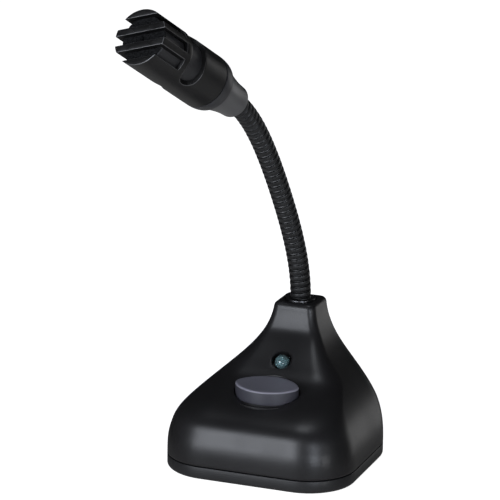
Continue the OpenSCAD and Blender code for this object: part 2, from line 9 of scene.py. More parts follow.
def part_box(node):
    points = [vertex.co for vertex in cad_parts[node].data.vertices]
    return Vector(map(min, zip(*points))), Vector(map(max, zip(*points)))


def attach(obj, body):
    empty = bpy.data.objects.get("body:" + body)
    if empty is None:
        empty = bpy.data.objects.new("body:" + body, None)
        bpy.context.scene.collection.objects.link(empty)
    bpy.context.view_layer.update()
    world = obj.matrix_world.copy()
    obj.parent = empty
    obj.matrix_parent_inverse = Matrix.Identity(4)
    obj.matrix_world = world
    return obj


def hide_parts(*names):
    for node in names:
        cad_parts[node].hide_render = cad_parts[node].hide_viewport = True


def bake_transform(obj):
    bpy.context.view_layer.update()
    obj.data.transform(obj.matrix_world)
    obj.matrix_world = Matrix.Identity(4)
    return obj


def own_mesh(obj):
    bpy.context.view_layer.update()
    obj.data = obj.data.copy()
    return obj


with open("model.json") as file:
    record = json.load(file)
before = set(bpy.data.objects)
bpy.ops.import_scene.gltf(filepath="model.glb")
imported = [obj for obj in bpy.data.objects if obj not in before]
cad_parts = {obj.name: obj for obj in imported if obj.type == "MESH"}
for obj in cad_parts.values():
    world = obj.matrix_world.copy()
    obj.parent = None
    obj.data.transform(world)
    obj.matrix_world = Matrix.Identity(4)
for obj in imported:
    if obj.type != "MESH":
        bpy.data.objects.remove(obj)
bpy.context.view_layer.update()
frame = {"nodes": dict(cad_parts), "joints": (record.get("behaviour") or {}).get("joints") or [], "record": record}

mm = 0.001
record = frame["record"]
jointPlaces = {j["name"]: Vector(j["pos_m"]) for j in frame["joints"] if "pos_m" in j}
mounts = {m["name"]: m for m in record["mounts"]}
print("frame loaded:", len(frame["nodes"]), "nodes")


class Link:
    # one output socket, so sums and products of it can be written as plain maths
    def __init__(self, nodes, socket):
        self.nodes = nodes
        self.socket = socket

    def maths(self, operation, *others):
        sockets = {0: self}
        sockets.update({i + 1: o for i, o in enumerate(others)})
        return self.nodes.add("ShaderNodeMath", {"operation": operation}, sockets)

    def __add__(self, other):
        return self.maths("ADD", other)

    def __sub__(self, other):
        return self.maths("SUBTRACT", other)

    def __mul__(self, other):
        return self.maths("MULTIPLY", other)

    def __pow__(self, other):
        return self.maths("POWER", other)

    def __rsub__(self, other):
        return self.nodes.add("ShaderNodeMath", {"operation": "SUBTRACT"}, {0: other, 1: self})

    __radd__ = __add__
    __rmul__ = __mul__


class Nodes:
    # a node tree, with one method that adds and links any node
    def __init__(self, tree):
        self.tree = tree

    def add(self, kind, settings, sockets, output=0):
        made = self.tree.nodes.new(kind)
        for key, value in settings.items():
            setattr(made, key, value)
        for key, value in sockets.items():
            if isinstance(value, Link):
                self.tree.links.new(value.socket, made.inputs[key])
            else:
                made.inputs[key].default_value = value
        return Link(self, made.outputs[output])

    def height(self, place):
        return self.add("ShaderNodeSeparateXYZ", {}, {"Vector": place}, 2)

    def ramp(self, value, low, high, toLow=0.0, toHigh=1.0):
        return self.add("ShaderNodeMapRange", {"interpolation_type": "SMOOTHSTEP"}, {
            "Value": value, "From Min": low, "From Max": high, "To Min": toLow, "To Max": toHigh}, 0)


class Finish(Nodes):
    # one material; what is the same all over is set on the shader itself
    def __init__(self, name, **fixed):
        self.material = bpy.data.materials.new(name)
        self.material.use_nodes = True
        super().__init__(self.material.node_tree)
        self.shader = self.tree.nodes["Principled BSDF"]
        for socket, value in fixed.items():
            self.shader.inputs[socket.replace("_", " ")].default_value = value
        self.place = self.add("ShaderNodeTexCoord", {}, {}, "Object")

    def feed(self, **links):
        for socket, link in links.items():
            self.tree.links.new(link.socket, self.shader.inputs[socket.replace("_", " ")])

    def noise(self, size, detail=2.0, place=None):
        return self.add("ShaderNodeTexNoise", {}, {
            "Vector": place or self.place, "Scale": 1 / size, "Detail": detail}, 0)

    def cells(self, size, place=None):
        return self.add("ShaderNodeTexVoronoi", {}, {"Vector": place or self.place, "Scale": 1 / size}, 0)

    def squeezed(self, x, y, z):
        return self.add("ShaderNodeMapping", {}, {"Vector": self.place, "Scale": (x, y, z)}, 0)

    def attribute(self, name):
        return self.add("ShaderNodeAttribute", {"attribute_name": name}, {}, 2)

    def shades(self, low, high, amount):
        colours = {0: amount, 6: low, 7: high}
        colours = {k: (*v, 1) if isinstance(v, tuple) else v for k, v in colours.items()}
        return self.add("ShaderNodeMix", {"data_type": "RGBA"}, colours, 2)

    def bump(self, height, depth, strength=1.0):
        return self.add("ShaderNodeBump", {}, {"Height": height, "Distance": depth, "Strength": strength}, 0)


def mouldedFinish(name, low, high, rough, grain, **fixed):
    # low and high are the darker and the lighter shade, grain is in metres
    f = Finish(name, **fixed)
    cloud = f.noise(0.014, 3)
    fine = f.noise(grain, 2)
    pits = f.cells(grain * 1.4)
    f.feed(Base_Color=f.shades(low, high, cloud * 0.6 + fine * 0.4),
           Roughness=f.ramp(cloud * 0.5 + fine * 0.5, 0.3, 0.7, rough - 0.04, rough + 0.05),
           Normal=f.bump(fine * 0.6 + pits * 0.4, grain * 0.06, 0.5))
    return f.material


def metalFinish(name, low, high, rough, streak):
    # streak squeezes the polishing marks along the three directions
    f = Finish(name, Metallic=1.0)
    lines = f.noise(0.0006, 3, f.squeezed(*streak))
    cloud = f.noise(0.006, 3)
    f.feed(Base_Color=f.shades(low, high, cloud),
           Roughness=f.ramp(lines, 0.3, 0.7, rough - 0.06, rough + 0.08),
           Normal=f.bump(lines, 0.00001, 0.4))
    return f.material


finishes = {
    "shell_plastic": mouldedFinish("shellPlastic", (0.0085, 0.0082, 0.0088), (0.0125, 0.012, 0.013),
                                   0.38, 0.0004, Specular_IOR_Level=0.5),
    "tray_plastic": mouldedFinish("trayPlastic", (0.0105, 0.0105, 0.0112), (0.0145, 0.0145, 0.0155),
                                  0.42, 0.0004),
    "pad_rubber": mouldedFinish("padRubber", (0.008, 0.008, 0.0082), (0.014, 0.014, 0.014), 0.78, 0.0006),
    "black_plastic": mouldedFinish("blackPlastic", (0.01, 0.01, 0.011), (0.017, 0.017, 0.018), 0.5, 0.0003),
    "plunger_plastic": mouldedFinish("plungerPlastic", (0.5, 0.46, 0.36), (0.58, 0.54, 0.43), 0.45, 0.0003),
    "wire_black": mouldedFinish("wireBlack", (0.012, 0.012, 0.012), (0.02, 0.02, 0.02), 0.6, 0.0003),
    "wire_red": mouldedFinish("wireRed", (0.22, 0.02, 0.02), (0.3, 0.03, 0.03), 0.55, 0.0003),
    "sleeve_grey": mouldedFinish("sleeveGrey", (0.014, 0.014, 0.0155), (0.02, 0.02, 0.0215), 0.45, 0.0003),
    "board_green": mouldedFinish("boardGreen", (0.012, 0.075, 0.042), (0.02, 0.11, 0.06), 0.35, 0.0005),
    "zinc_steel": metalFinish("zincSteel", (0.5, 0.5, 0.52), (0.62, 0.62, 0.63), 0.34, (1, 1, 6)),
    "nut_metal": metalFinish("nutMetal", (0.5, 0.5, 0.52), (0.6, 0.6, 0.61), 0.32, (1, 1, 6)),
    "spring_steel": metalFinish("springSteel", (0.55, 0.55, 0.57), (0.66, 0.66, 0.67), 0.25, (1, 1, 1)),
    "contact_metal": metalFinish("contactMetal", (0.6, 0.42, 0.2), (0.72, 0.52, 0.28), 0.3, (1, 1, 4)),
    "capsule_alu": metalFinish("capsuleAlu", (0.62, 0.62, 0.64), (0.72, 0.72, 0.73), 0.3, (1, 1, 4)),
    "washer_metal": metalFinish("washerMetal", (0.1, 0.1, 0.105), (0.17, 0.17, 0.175), 0.33, (1, 1, 6)),
}


def slotFinish():
    # the walls the cutter left inside the slots and windows, rougher than the turned outside and painted darker as
    # shade in the recesses
    f = Finish("slotWallShade", IOR=1.3)
    cloud = f.noise(0.004, 3)
    f.feed(Base_Color=f.shades((0.002, 0.002, 0.0021), (0.004, 0.004, 0.004), cloud),
           Roughness=f.ramp(cloud, 0.3, 0.7, 0.5, 0.62),
           Normal=f.bump(cloud, 0.00002, 0.4))
    return f.material


def headFinish(name="headBlack", low=(0.0045, 0.0045, 0.0047), high=(0.008, 0.0078, 0.0078), **fixed):
    f = Finish(name, IOR=1.55, **fixed)
    cloud = f.noise(0.011, 3)
    fine = f.noise(0.00022, 3)
    f.feed(Base_Color=f.shades(low, high, cloud),
           Roughness=f.ramp(cloud * 0.4 + fine * 0.6, 0.3, 0.7, 0.33, 0.45),
           Normal=f.bump(fine, 0.00002, 0.5))
    return f.material


def ferruleFinish():
    f = Finish("ferruleGrey", IOR=1.6)
    cloud = f.noise(0.008, 3)
    fine = f.noise(0.0002, 3)
    f.feed(Base_Color=f.shades((0.09, 0.09, 0.093), (0.115, 0.115, 0.118), cloud),
           Roughness=f.ramp(cloud * 0.4 + fine * 0.6, 0.3, 0.7, 0.34, 0.46),
           Metallic=f.ramp(cloud, 0.2, 0.8, 0.45, 0.55),
           Normal=f.bump(fine, 0.00002, 0.5))
    return f.material


def neckFinish():
    # black oxide on wire: worn a little brighter along the crest of each turn
    f = Finish("neckBlack", IOR=1.6)
    cloud = f.noise(0.004, 3)
    fine = f.noise(0.00015, 3)
    crest = f.attribute("crest") * f.ramp(cloud, 0.35, 0.75, 0.35, 1.0)
    f.feed(Base_Color=f.shades((0.004, 0.004, 0.0042), (0.02, 0.0204, 0.0215), crest),
           Roughness=f.ramp(fine, 0.3, 0.7, 0.36, 0.48) + crest * 0.03,
           Metallic=crest * 0.3 + 0.05,
           Normal=f.bump(fine, 0.000012, 0.5))
    return f.material


def screenFinish():
    # open foam behind the slots: pores and bright specks on the cell walls
    f = Finish("screenFoam", Specular_IOR_Level=0.2)
    pores = f.cells(0.0006)
    specks = f.noise(0.00025, 3)
    f.feed(Base_Color=f.shades((0.0012, 0.0012, 0.0014), (0.016, 0.0165, 0.0185),
                               f.ramp(pores, 0.15, 0.75) * specks),
           Roughness=f.ramp(specks, 0.3, 0.7, 0.55, 0.85),
           Normal=f.bump(pores + specks * 0.5, 0.0003, 0.9))
    return f.material


def buttonFinish():
    # the top is painted paler, a painted sheen for light from above, and the sides keep the moulded colour
    f = Finish("buttonPlastic")
    cloud = f.noise(0.009, 3)
    fine = f.noise(0.00035, 2)
    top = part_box("talk_button")[1].z
    # painted sheen: the button's top face is lighter than its sides
    paintedTopSheen = f.ramp(f.height(f.place), top - 0.0005, top - 0.0001)
    f.feed(Base_Color=f.shades((0.044, 0.044, 0.056), (0.25, 0.246, 0.295),
                               paintedTopSheen * f.ramp(cloud, 0.2, 0.8, 0.88, 1.0)),
           Roughness=f.ramp(cloud * 0.5 + fine * 0.5, 0.3, 0.7, 0.4, 0.5),
           Normal=f.bump(fine, 0.00002, 0.5))
    return f.material


def lampFinish():
    f = Finish("lampClear", Transmission_Weight=0.82, IOR=1.5)
    haze = f.noise(0.003, 2)
    f.feed(Base_Color=f.shades((0.42, 0.7, 0.76), (0.5, 0.78, 0.82), haze),
           Roughness=f.ramp(haze, 0.3, 0.7, 0.03, 0.08))
    return f.material


def lampCupFinish():
    f = Finish("lampCup", Metallic=0.6)
    haze = f.noise(0.0008, 2)
    f.feed(Base_Color=f.shades((0.08, 0.11, 0.115), (0.2, 0.25, 0.25), haze),
           Roughness=f.ramp(haze, 0.3, 0.7, 0.2, 0.4))
    return f.material


finishes.update({
    "button_plastic": buttonFinish(), "head_black": headFinish(), "ferrule_grey": ferruleFinish(),
    "neck_black": neckFinish(), "screen_black": screenFinish(), "lamp_clear": lampFinish(),
})
# four more, each for part of a slot only
lampCup = lampCupFinish()
slotWallShade = slotFinish()
# a bright metal copy of the head's finish, a painted glint for the rims round the openings
paintedRimGlint = headFinish("paintedRimGlint", (0.11, 0.11, 0.115), (0.24, 0.24, 0.245), Metallic=0.8)
# a lighter copy of the head's finish, a painted sheen for the back ring
ringPaintedSheen = headFinish("ringPaintedSheen", (0.03, 0.03, 0.0325), (0.04, 0.04, 0.043), Metallic=0.35)
print("finishes made")


def dress(piece, body, slot, replaced=(), finish=None, sharp=30):
    # last steps of a new piece: finish, smooth faces with crisp edges, the body it moves with
    piece.data.materials.clear()
    piece.data.materials.append(finish or finishes[slot])
    piece.data.shade_smooth()
    piece.data.set_sharp_from_angle(angle=math.radians(sharp))
    if body:
        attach(piece, body)
    if replaced:
        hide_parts(*replaced)
    return piece


def pieceFrom(bm, name, turn=None):
    # the finished bmesh as an object in the scene
    if turn:
        bmesh.ops.transform(bm, matrix=turn, verts=bm.verts)
    mesh = bpy.data.meshes.new(name)
    bm.to_mesh(mesh)
    bm.free()
    piece = bpy.data.objects.new(name, mesh)
    bpy.context.scene.collection.objects.link(piece)
    return piece


def spunProfile(bm, profile, steps=128):
    # (radius, height) pairs in mm, turned once round Z; points on the axis close the poles
    verts = [bm.verts.new((r * mm, 0, z * mm)) for r, z in profile]
    edges = [bm.edges.new(pair) for pair in zip(verts, verts[1:])]
    bmesh.ops.spin(bm, geom=verts + edges, cent=(0, 0, 0), axis=(0, 0, 1), angle=math.tau, steps=steps,
                   use_merge=True)
    bmesh.ops.remove_doubles(bm, verts=bm.verts, dist=1e-6)
    bmesh.ops.recalc_face_normals(bm, faces=bm.faces)


def addTurned(bm, profile, x, y, steps=32):
    # a small turned post, standing at a place of the plan in mm, added to the same mesh
    spun = bmesh.new()
    spunProfile(spun, profile, steps)
    bmesh.ops.translate(spun, vec=Vector((x, y, 0)) * mm, verts=spun.verts)
    post = bpy.data.meshes.new("post")
    spun.to_mesh(post)
    spun.free()
    bm.from_mesh(post)


def roundedCorner(centre, radius, start, end, steps=5):
    # profile points on an arc, angles in degrees from +radius towards +height
    return [(centre[0] + radius * math.cos(math.radians(start + (end - start) * i / steps)),
             centre[1] + radius * math.sin(math.radians(start + (end - start) * i / steps)))
            for i in range(steps + 1)]


def loftRings(bm, rings, capped=True):
    # a circle is stretched to the first ring, then its edge is pulled from ring to ring
    made = bmesh.ops.create_circle(bm, segments=len(rings[0]), radius=mm)
    loop = made["verts"]
    for vert, place in zip(loop, rings[0]):
        vert.co = place
    edges = [bm.edges.get((loop[i - 1], loop[i])) for i in range(len(loop))]
    first = loop
    for ring in rings[1:]:
        pulled = bmesh.ops.extrude_edge_only(bm, edges=edges)["geom"]
        follow = {}
        newVerts = [g for g in pulled if isinstance(g, bmesh.types.BMVert)]
        edges = [g for g in pulled if isinstance(g, bmesh.types.BMEdge)
                 and g.verts[0] in newVerts and g.verts[1] in newVerts]
        for vert in newVerts:
            old = next(e.other_vert(vert) for e in vert.link_edges if e.other_vert(vert) not in newVerts)
            follow[old] = vert
        loop = [follow[v] for v in loop]
        for vert, place in zip(loop, ring):
            vert.co = place
    if capped:
        bm.faces.new(first)
        bm.faces.new(loop)
    bmesh.ops.recalc_face_normals(bm, faces=bm.faces)


def cutWith(piece, cutter):
    # exact Boolean, baked into the mesh at once
    step = piece.modifiers.new("cut", "BOOLEAN")
    step.operation = "DIFFERENCE"
    step.solver = "EXACT"
    step.object = cutter
    bpy.context.view_layer.update()
    result = bpy.data.meshes.new_from_object(piece.evaluated_get(bpy.context.evaluated_depsgraph_get()))
    piece.modifiers.clear()
    piece.data = result
    bpy.data.objects.remove(cutter)


def softenRims(piece, width, isRim):
    # small rounding on the sharp edges that isRim picks
    bm = bmesh.new()
    bm.from_mesh(piece.data)

    def sharpRims():
        return [e for e in bm.edges
                if len(e.link_faces) == 2 and e.calc_face_angle(0) > math.radians(35)
                and isRim((e.verts[0].co + e.verts[1].co) / 2)]

    bmesh.ops.remove_doubles(bm, verts=bm.verts, dist=0.004 * mm)
    rimVerts = list(dict.fromkeys(v for e in sharpRims() for v in e.verts))
    bmesh.ops.remove_doubles(bm, verts=rimVerts, dist=width * 0.8)
    bmesh.ops.bevel(bm, geom=sharpRims(), offset=width, offset_type="OFFSET", affect="EDGES",
                    segments=2, profile=0.5, material=-1, clamp_overlap=False, loop_slide=True)
    bm.to_mesh(piece.data)
    bm.free()


# the bell-shaped shell, in mm; knots are (height share above the seam, spread share, slope)
shell = {
    "width": 64.6, "depth": 59.2, "height": 50, "seamTop": 5.1, "seam": 4.7, "corner": 16.4,
    "towerWidth": 14.6, "towerDepth": 14.8, "towerCorner": 2.6, "backLean": 0.6, "cornerPower": 1.45,
    "topRound": 1.6, "wall": 1.8, "rimRound": 0.16, "holeRound": 0.1, "rows": 66,
    "flank": [(1, 0, -0.08), (0.714, 0.2, -1.41), (0.3, 0.9, -0.92), (0, 1, 0)],
    "front": [(1, 0, -0.05), (0.824, 0.045, -0.41), (0.623, 0.25, -1.18), (0.533, 0.367, -1.94),
              (0.427, 0.73, -3.17), (0.207, 0.98, -0.36), (0, 1, 0)],
    "roof": 2.4, "insideRows": 30, "inletRadius": 3.0, "neckHole": 3.1, "recessRadius": 5.4,
    "postRadius": 3.1, "postBore": 1.3, "postX": 22.5, "postY": 20.2, "postFoot": 2.3, "boreDepth": 10,
    "postTops": {-1: 14, 1: 16},  # front and back
    "guideWall": 1.3, "guideFoot": 17.35, "guideTops": (24.6, 24.2),  # wall round the button, under the skin
}
# low and high ends of the cutters for the skin's holes, in mm along their own axes
cuts = {"button": (12, 60), "lamp": (-12, 20), "inlet": (-6, 6), "neck": (-6, 3), "recess": (-0.7, 3)}
towerY = jointPlaces["neck_bend_1"].y / mm
towerFront = towerY - shell["towerDepth"] / 2


def curveAt(knots, share):
    # smooth curve through the knots, with the slope that each one gives
    i = 0
    while i < len(knots) - 2 and share < knots[i + 1][0]:
        i += 1
    (h0, v0, s0), (h1, v1, s1) = knots[i], knots[i + 1]
    d = h1 - h0
    t = (share - h0) / d
    return (v0 * (2 * t**3 - 3 * t**2 + 1) + d * s0 * (t**3 - 2 * t**2 + t)
            + v1 * (3 * t**2 - 2 * t**3) + d * s1 * (t**3 - t**2))


def shellSize(z):
    # half width, front, back and corner radius of the shell's outline at a height, in mm
    share = min(1, max(0, (z - shell["seam"]) / (shell["height"] - shell["seam"])))
    flank = curveAt(shell["flank"], share)
    front = curveAt(shell["front"], share)
    return (shell["towerWidth"] / 2 + (shell["width"] - shell["towerWidth"]) / 2 * flank,
            towerFront - (towerFront + shell["depth"] / 2) * front,
            shell["depth"] / 2 - shell["backLean"] * (1 - flank),
            shell["towerCorner"] + (shell["corner"] - shell["towerCorner"]) * flank ** shell["cornerPower"])


def outlineRing(half, front, back, corner, z, arcSteps=14, sideSteps=8):
    # rounded rectangle as a ring of points in metres, always the same count, from the right side on
    corner = min(corner, half - 0.01, (back - front) / 2 - 0.01)
    middle = (front + back) / 2
    reach = (back - front) / 2
    ring = []
    for quarter in range(4):
        sx, sy = (1, -1, -1, 1)[quarter], (1, 1, -1, -1)[quarter]
        cx, cy = sx * (half - corner), middle + sy * (reach - corner)
        for i in range(arcSteps + 1):
            a = math.radians(90 * quarter + 90 * i / arcSteps)
            ring.append(Vector((cx + corner * math.cos(a), cy + corner * math.sin(a), z)) * mm)
        nx, ny = (-1, -1, 1, 1)[quarter], (1, -1, -1, 1)[quarter]
        after = Vector((nx * (half - corner), middle + ny * (reach - corner), z)) * mm
        a = math.radians(90 * (quarter + 1))
        after += Vector((math.cos(a), math.sin(a), 0)) * corner * mm
        start = ring[-1].copy()
        ring += [start.lerp(after, 0.5 - 0.5 * math.cos(math.pi * i / sideSteps))
                 for i in range(1, sideSteps)]
    return ring


def grown(size, margin):
    half, front, back, corner = size
    return half + margin, front - margin, back + margin, max(0.3, corner + margin)


buttonLow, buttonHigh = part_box("talk_button")
buttonMiddle = (buttonLow + buttonHigh) / 2 / mm
ovalShape = {"length": 21.6, "depth": 16.2, "endShare": 0.52, "gap": 0.5, "steps": 96}


def ovalRing(grow, z):
    # the button's outline: two side arcs and two round ends, all tangent, grown outwards in mm
    steps = ovalShape["steps"]
    a, b = ovalShape["length"] / 2, ovalShape["depth"] / 2
    end = b * ovalShape["endShare"]
    side = ((a - end) ** 2 + b * b - end * end) / (2 * (b - end))
    meet = math.atan2(side - b, a - end)
    ring = []
    for i in range(steps):
        t = math.tau * i / steps
        lead = (t + math.pi) % math.tau - math.pi
        if abs(lead) <= meet or abs(lead) >= math.pi - meet:
            sx = 1 if abs(lead) <= meet else -1
            place = (sx * (a - end) + (end + grow) * math.cos(t), (end + grow) * math.sin(t))
        else:
            sy = 1 if lead > 0 else -1
            place = ((side + grow) * math.cos(t), -sy * (side - b) + (side + grow) * math.sin(t))
        ring.append(Vector((buttonMiddle.x + place[0], buttonMiddle.y + place[1], z)) * mm)
    return ring


# the lamp, in mm from the skin along its own axis
lampShape = {
    "diameter": 5, "hole": 6.9, "tilt": 39, "rise": 1.2, "y": 3.9,
    "flange": 0.4, "flangeLow": -5.4, "flangeTop": -4.4,
    "cup": [(0, -1.6), (0.45, -1.6), (0.95, -0.85), (1.1, -0.85), (1.1, -1.9), (0.6, -2.2), (0.6, -4.2),
            (0, -4.2)],
    "cupShift": -0.35, "postPlace": (1.35, 0, -2.3), "postSize": (0.6, 1.5, 3.4), "postRound": 0.12,
}


def skinHeight(y):
    # height of the shell's front slope above a place on the middle line
    low, high = shell["seam"], shell["height"]
    for _ in range(30):
        middle = (low + high) / 2
        low, high = (middle, high) if shellSize(middle)[1] < y else (low, middle)
    return low


lampPlace = (Matrix.Translation((0, lampShape["y"] * mm, skinHeight(lampShape["y"]) * mm))
             @ Matrix.Rotation(math.radians(lampShape["tilt"]), 4, "X"))
inletPlace = (Matrix.Translation(Vector(mounts["cable_inlet"]["pos_m"]))
              @ Matrix.Rotation(math.radians(-90), 4, "X"))
neckFoot = Vector((0, towerY * mm, shell["height"] * mm))


def rodAlong(place, radius, low, high, segments=96):
    # plain cutter rod, radius and ends in mm along the place's own Z
    bm = bmesh.new()
    turn = place @ Matrix.Translation((0, 0, (low + high) / 2 * mm))
    bmesh.ops.create_cone(bm, cap_ends=True, segments=segments, radius1=radius * mm, radius2=radius * mm,
                          depth=(high - low) * mm, matrix=turn)
    return pieceFrom(bm, "cutter")


def prismOval(grow, low, high):
    bm = bmesh.new()
    loftRings(bm, [ovalRing(grow, z) for z in (low, high)])
    return pieceFrom(bm, "cutter")


def shellOutside():
    # the rows of the skin, from the rounded rim at the seam to the rounded top
    seam, rim, edge = shell["seamTop"], shell["rimRound"], shell["topRound"]
    top = shell["height"] - edge
    rings = [outlineRing(*grown(shellSize(seam), -rim), seam),
             outlineRing(*grown(shellSize(seam), -0.05), seam + 0.05),
             outlineRing(*shellSize(seam), seam + rim)]
    for i in range(1, shell["rows"]):
        z = seam + (top - seam) * i / (shell["rows"] - 1)
        rings.append(outlineRing(*shellSize(z), z))
    for a in (15, 30, 45, 60, 75, 90):
        z = top + edge * math.sin(math.radians(a))
        rings.append(outlineRing(*grown(shellSize(z), -edge * (1 - math.cos(math.radians(a)))), z))
    return rings


def shellInside():
    # follows the skin at the wall's distance, up to the roof
    seam, wall = shell["seamTop"], shell["wall"]
    roof = shell["height"] - shell["roof"]
    rings = [outlineRing(*grown(shellSize(seam), -wall), seam - 1)]
    for i in range(shell["insideRows"]):
        z = seam + (roof - seam) * i / (shell["insideRows"] - 1)
        rings.append(outlineRing(*grown(shellSize(z + wall), -wall), z))
    return rings


def isShellRim(place):
    # the holes' edges on the skin, not those inside
    x, y, z = place / mm
    front, back = shellSize(z)[1:3]
    onTop = z > shell["height"] - 0.05
    onSkin = onTop or y < front + 0.4 or (y > back - 0.3 and abs(x) < 4)
    return onSkin and z >= shell["seamTop"] + 2


def makeShell():
    bm = bmesh.new()
    loftRings(bm, shellOutside())
    piece = pieceFrom(bm, "shell_cover")
    bm = bmesh.new()
    loftRings(bm, shellInside())
    cutWith(piece, pieceFrom(bm, "cutter"))
    cutWith(piece, prismOval(ovalShape["gap"], *cuts["button"]))
    cutWith(piece, rodAlong(lampPlace, lampShape["hole"] / 2, *cuts["lamp"]))
    cutWith(piece, rodAlong(inletPlace, shell["inletRadius"], *cuts["inlet"]))
    cutWith(piece, rodAlong(Matrix.Translation(neckFoot), shell["neckHole"], *cuts["neck"]))
    cutWith(piece, rodAlong(Matrix.Translation(neckFoot), shell["recessRadius"], *cuts["recess"]))
    softenRims(piece, shell["holeRound"] * mm, isShellRim)

    # guide wall round the button and the screw posts, all under the skin
    bm = bmesh.new()
    bm.from_mesh(piece.data)
    inside, outside = ovalShape["gap"], ovalShape["gap"] + shell["guideWall"]
    guide = [(inside, shell["guideTops"][0]), (inside, shell["guideFoot"]),
             (outside, shell["guideFoot"]), (outside, shell["guideTops"][1])]
    loftRings(bm, [ovalRing(grow, z) for grow, z in guide], capped=False)
    r, bore, foot = shell["postRadius"], shell["postBore"], shell["postFoot"]
    boreTop = foot + shell["boreDepth"]
    for x in (-1, 1):
        for y in (-1, 1):
            top = shell["postTops"][y]
            profile = [(0, boreTop), (bore, boreTop), (bore, foot), (r, foot), (r, top), (0, top)]
            addTurned(bm, profile, x * shell["postX"], y * shell["postY"])
    bm.to_mesh(piece.data)
    bm.free()
    return dress(piece, "base", "shell_plastic", ["base_shell"])


makeShell()
print("shell made")

tray = {
    "edgeRound": 1.3, "bottom": 0.4, "padInset": 3.9, "padDepth": 0.8, "topRound": 0.14,
    "lipTop": 6.9, "lipIn": 2.05, "lipWall": 1.2, "lipChamfer": 0.3, "floorTop": 2.2,
    "screwHole": (1.5, 6), "screwSink": (2.65, 2.1),  # radius and upper end
    "pillarX": (-13.6, 13.6), "pillarY": (-13.6, 11), "pillarRadius": 2.4, "pillarTop": 9, "pillarFoot": 2.1,
    "pillarBore": 1.05, "pillarBoreFoot": 4.2,
}


def makeTray():
    full = (shell["width"] / 2, -shell["depth"] / 2, shell["depth"] / 2, shell["corner"])
    bottom, edge, top, topEdge = tray["bottom"], tray["edgeRound"], shell["seam"], tray["topRound"]
    lip, lipTop, chamfer = -tray["lipIn"], tray["lipTop"], tray["lipChamfer"]
    # (margin on the full outline, height) of each ring, from the pad's recess outwards, up and in again
    steps = [(-tray["padInset"], tray["padDepth"]), (-tray["padInset"], bottom)]
    steps += roundedCorner((-edge, bottom + edge), edge, -90, 0, 6)
    steps += roundedCorner((-topEdge, top - topEdge), topEdge, 0, 90, 3)
    steps += [(lip, top), (lip, lipTop - chamfer), (lip - chamfer, lipTop), (lip - tray["lipWall"], lipTop),
              (lip - tray["lipWall"], tray["floorTop"])]
    bm = bmesh.new()
    loftRings(bm, [outlineRing(*grown(full, margin), z) for margin, z in steps])
    piece = pieceFrom(bm, "tray_cover")
    for x in (-1, 1):
        for y in (-1, 1):
            spot = Matrix.Translation(Vector((x * shell["postX"], y * shell["postY"], 0)) * mm)
            for radius, high in (tray["screwHole"], tray["screwSink"]):
                cutWith(piece, rodAlong(spot, radius, -1, high, 40))
    bm = bmesh.new()
    bm.from_mesh(piece.data)
    r, bore, foot, high = (tray[k] for k in ("pillarRadius", "pillarBore", "pillarFoot", "pillarTop"))
    boreFoot = tray["pillarBoreFoot"]
    profile = [(0, boreFoot), (bore, boreFoot), (bore, high), (r, high), (r, foot), (0, foot)]
    for x in tray["pillarX"]:
        for y in tray["pillarY"]:
            addTurned(bm, profile, x, y)
    bm.to_mesh(piece.data)
    bm.free()
    return dress(piece, "base", "tray_plastic", ["bottom_tray"])


makeTray()
print("tray made")

button = {
    "round": 0.55, "wall": 1.3, "roof": 1.8, "level": 2.5, "stem": 1.8, "stemEnd": 15.9,
    "flange": 1.1, "flangeThick": 1.2, "flangeZ": 16,
    "dish": 0.12, "dishShares": (0.82, 0.62, 0.42, 0.22, 0.08), "climb": 0.026, "climbLeft": 0.008,
}


def makeButton():
    top = buttonHigh.z / mm
    r, wall, flange, flangeZ = (button[k] for k in ("round", "wall", "flange", "flangeZ"))
    flangeTop = flangeZ + button["flangeThick"]
    steps = [(-wall, top - button["roof"]), (-wall, flangeZ), (flange, flangeZ), (flange, flangeTop),
             (0, flangeTop), (0, top - r - button["level"])]
    levelRings = len(steps)
    steps += roundedCorner((-r, top - r), r, 0, 90, 6)
    rings = [ovalRing(grow, z) for grow, z in steps]
    # the top is very slightly dished for the finger
    rim = rings[-1]
    centre = buttonMiddle * mm
    for share in button["dishShares"]:
        height = (top - button["dish"] * (1 - share * share)) * mm
        rings.append([Vector((*centre.xy.lerp(p.xy, share), height)) for p in rim])
    # it climbs a little towards the back and the left
    for ring in rings[levelRings:]:
        for p in ring:
            p.z += button["climb"] * (p.y - buttonLow.y) + button["climbLeft"] * (buttonHigh.x - p.x)
    bm = bmesh.new()
    loftRings(bm, rings)
    stem, stemTop, stemEnd = button["stem"] * mm, top - button["roof"], button["stemEnd"]
    middle = Vector((*buttonMiddle.xy, (stemTop + stemEnd) / 2)) * mm
    bmesh.ops.create_cone(bm, cap_ends=True, segments=32, radius1=stem, radius2=stem,
                          depth=(stemTop - stemEnd) * mm, matrix=Matrix.Translation(middle))
    return dress(pieceFrom(bm, "talk_key"), "button", "button_plastic", ["talk_button"])


makeButton()

spring = {"wire": 0.6, "turns": 5, "stepsPerTurn": 28, "sides": 10, "extraSquash": 1.03}


def makeSpring():
    # a coil in the box of the CAD spring, its foot on the board
    low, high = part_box("button_spring")
    wire = spring["wire"] / 2
    middle = (low + high) / 2 / mm
    radius = (high.x - low.x) / 2 / mm - wire
    rise = (high.z - low.z) / mm - 2 * wire
    count = spring["turns"] * spring["stepsPerTurn"]
    rings = []
    for i in range(count + 1):
        a = math.tau * i / spring["stepsPerTurn"]
        out = Vector((math.cos(a), math.sin(a), 0))
        centre = Vector((middle.x, middle.y, low.z / mm + wire + rise * i / count)) + out * radius
        ring = []
        for j in range(spring["sides"]):
            b = math.tau * j / spring["sides"]
            ring.append((centre + (out * math.cos(b) + Vector((0, 0, math.sin(b)))) * wire) * mm)
        rings.append(ring)
    bm = bmesh.new()
    loftRings(bm, rings)
    piece = pieceFrom(bm, "button_coil")
    dress(piece, "base", "spring_steel", ["button_spring"])
    travel = next(j["range_m"][1] for j in frame["joints"] if j["name"] == "button_press")
    1 - travel * spring["extraSquash"] / (high.z - low.z)
    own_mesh(piece)


makeSpring()
print("button made")


